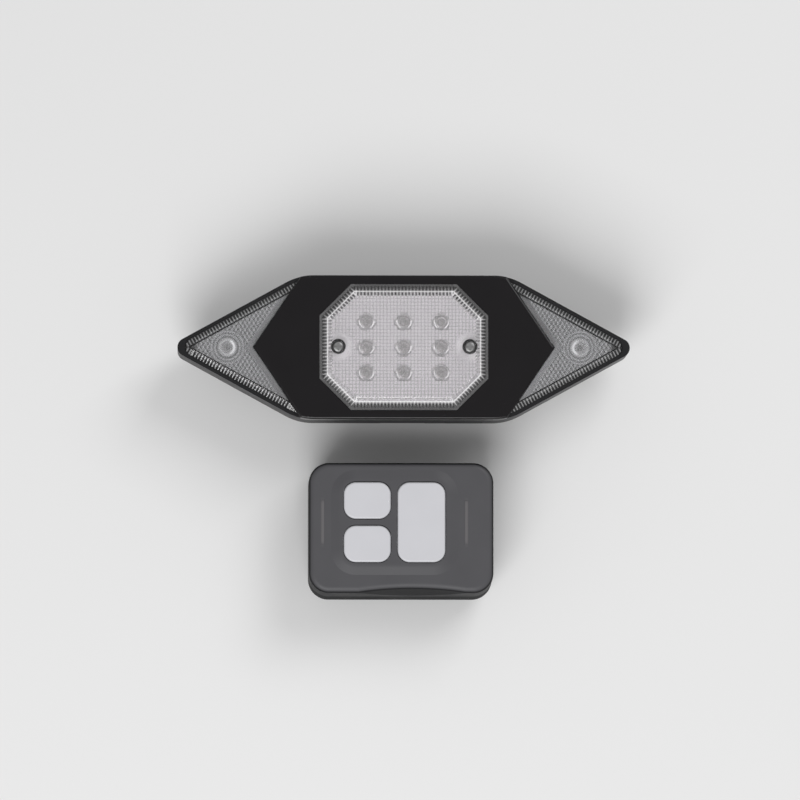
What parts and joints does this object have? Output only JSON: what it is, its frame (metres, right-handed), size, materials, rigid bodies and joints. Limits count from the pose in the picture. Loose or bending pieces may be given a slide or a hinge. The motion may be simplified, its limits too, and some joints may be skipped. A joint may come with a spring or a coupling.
{
  "type": "bicycle turn signal light",
  "caption": "Diamond-shaped bicycle tail light with clear turn signal wings, a raised octagonal LED lens, a seat post bracket and a handlebar remote with blank keys.",
  "frame": {"origin": "middle of the set's footprint, on the surface that both units lie on", "axes": "+X along the light to the viewer's right, +Y up when the light is fitted, +Z out of the lenses and keys, up when the set lies on its back"},
  "size_m": [0.165, 0.1172, 0.0406],
  "materials": {
    "case_black": "fine moulded black",
    "bezel_black": "polished black",
    "clear_lens": "clear moulded",
    "led_clear": "water clear",
    "reflector_white": "white",
    "reflector_grey": "grey metallised",
    "board_green": "solder mask",
    "part_black": "moulded",
    "steel": "plated",
    "cell_foil": "foil and sleeve",
    "foam": "closed cell",
    "seal_rubber": "moulded",
    "strap_rubber": "matt moulded",
    "remote_grey": "satin",
    "remote_dark": "fine moulded",
    "key_grey": "satin"
  },
  "bodies": {
    "bracket": {"bracket_cradle": "case_black", "bracket_pad": "seal_rubber", "strap_pin": "steel"},
    "strap": {"post_strap": "strap_rubber"},
    "light": {"rear_housing": "case_black", "front_bezel": "bezel_black", "left_wing_lens": "clear_lens", "right_wing_lens": "clear_lens", "centre_lens": "clear_lens", "centre_lens_seal": "seal_rubber", "lens_screws": "steel", "housing_screws": "steel", "centre_reflector": "reflector_white", "centre_leds": "led_clear", "led_board": "board_green", "left_wing_reflector": "reflector_grey", "right_wing_reflector": "reflector_grey", "wing_leds": "led_clear", "wing_boards": "board_green", "battery_cell": "cell_foil", "battery_pad": "foam", "control_board": "board_green", "radio_module": "part_black", "power_switch": "part_black", "charge_board": "board_green", "usb_socket": "steel"},
    "power_button": {"power_button": "seal_rubber"},
    "usb_cover": {"usb_cover": "case_black"},
    "remote": {"remote_front_shell": "remote_grey", "remote_back_shell": "remote_dark", "remote_board": "board_green", "remote_switches": "part_black", "remote_cells": "cell_foil", "cell_contacts": "steel", "remote_screws": "steel"},
    "upper_key": {"upper_key": "key_grey"},
    "lower_key": {"lower_key": "key_grey"},
    "tall_key": {"tall_key": "key_grey"},
    "battery_door": {"battery_door": "remote_dark", "door_pad": "seal_rubber"}
  },
  "joints": [
    {"name": "strap_swing", "type": "hinge", "parent": "bracket", "child": "strap", "pos_m": [-0.02329, 0.0323, 0.004], "axis": [0, 1, 0], "range_deg": [-95, 0]},
    {"name": "light_slide", "type": "slide", "parent": "bracket", "child": "light", "axis": [0, 1, 0], "range_m": [0, 0.042]},
    {"name": "power_press", "type": "slide", "parent": "light", "child": "power_button", "axis": [0, 0, 1], "range_m": [0, 0.0008], "stiffness_N_per_m": 1500},
    {"name": "usb_cover_swing", "type": "hinge", "parent": "light", "child": "usb_cover", "pos_m": [0.02247, 0.0071, 0.0158], "axis": [1, 0, 0], "range_deg": [0, 90]},
    {"name": "remote_lift", "type": "slide", "parent": "bracket", "child": "remote", "axis": [0, 0, 1], "range_m": [0, 0.12]},
    {"name": "upper_key_press", "type": "slide", "parent": "remote", "child": "upper_key", "axis": [0, 0, -1], "range_m": [0, 0.001], "stiffness_N_per_m": 1500},
    {"name": "lower_key_press", "type": "slide", "parent": "remote", "child": "lower_key", "axis": [0, 0, -1], "range_m": [0, 0.001], "stiffness_N_per_m": 1500},
    {"name": "tall_key_press", "type": "slide", "parent": "remote", "child": "tall_key", "axis": [0, 0, -1], "range_m": [0, 0.001], "stiffness_N_per_m": 1500},
    {"name": "battery_door_slide", "type": "slide", "parent": "remote", "child": "battery_door", "axis": [1, 0, 0], "range_m": [0, 0.058]}
  ]
}
